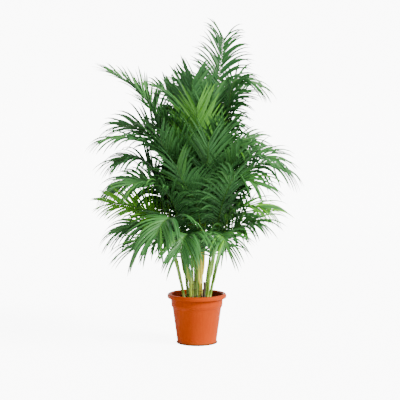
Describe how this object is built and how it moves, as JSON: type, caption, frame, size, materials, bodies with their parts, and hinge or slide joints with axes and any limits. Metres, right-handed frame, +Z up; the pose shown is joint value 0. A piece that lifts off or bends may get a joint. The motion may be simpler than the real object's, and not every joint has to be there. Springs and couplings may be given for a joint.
{
  "type": "potted palm",
  "caption": "Potted feather palm: a clump of slender canes with arching fronds of narrow leaflets, rooted in soil in a round plastic pot with a rolled rim.",
  "frame": {"origin": "centre of the pot's underside, on the surface it stands on", "axes": "+Z up along the pot's axis; -Y is the front, +X the right seen from the front"},
  "size_m": [0.9331, 0.8676, 1.3014],
  "materials": {
    "pot": "satin",
    "soil": "matte",
    "cane": "satin",
    "leaf": "satin"
  },
  "bodies": {
    "root": {"cane_back": "cane", "cane_back_left": "cane", "cane_back_right": "cane", "cane_front": "cane", "cane_front_left": "cane", "cane_front_right": "cane", "cane_heart_back": "cane", "cane_heart_front": "cane", "cane_heart_left": "cane", "cane_heart_right": "cane", "cane_left": "cane", "cane_right": "cane", "cane_stub": "cane", "frond_back_1": "leaf", "frond_back_2": "leaf", "frond_back_3": "leaf", "frond_back_left_1": "leaf", "frond_back_left_2": "leaf", "frond_back_left_3": "leaf", "frond_back_left_4": "leaf", "frond_back_right_1": "leaf", "frond_back_right_2": "leaf", "frond_back_right_3": "leaf", "frond_back_right_4": "leaf", "frond_front_1": "leaf", "frond_front_2": "leaf", "frond_front_3": "leaf", "frond_front_4": "leaf", "frond_front_left_1": "leaf", "frond_front_left_2": "leaf", "frond_front_left_3": "leaf", "frond_front_left_4": "leaf", "frond_front_right_1": "leaf", "frond_front_right_2": "leaf", "frond_front_right_3": "leaf", "frond_front_right_4": "leaf", "frond_heart_back_1": "leaf", "frond_heart_back_2": "leaf", "frond_heart_back_3": "leaf", "frond_heart_front_1": "leaf", "frond_heart_front_2": "leaf", "frond_heart_front_3": "leaf", "frond_heart_front_4": "leaf", "frond_heart_left_1": "leaf", "frond_heart_left_2": "leaf", "frond_heart_left_3": "leaf", "frond_heart_right_1": "leaf", "frond_heart_right_2": "leaf", "frond_heart_right_3": "leaf", "frond_heart_right_4": "leaf", "frond_left_1": "leaf", "frond_left_2": "leaf", "frond_left_3": "leaf", "frond_left_4": "leaf", "frond_right_1": "leaf", "frond_right_2": "leaf", "frond_right_3": "leaf", "frond_right_4": "leaf", "pot": "pot", "soil": "soil"}
  },
  "joints": []
}
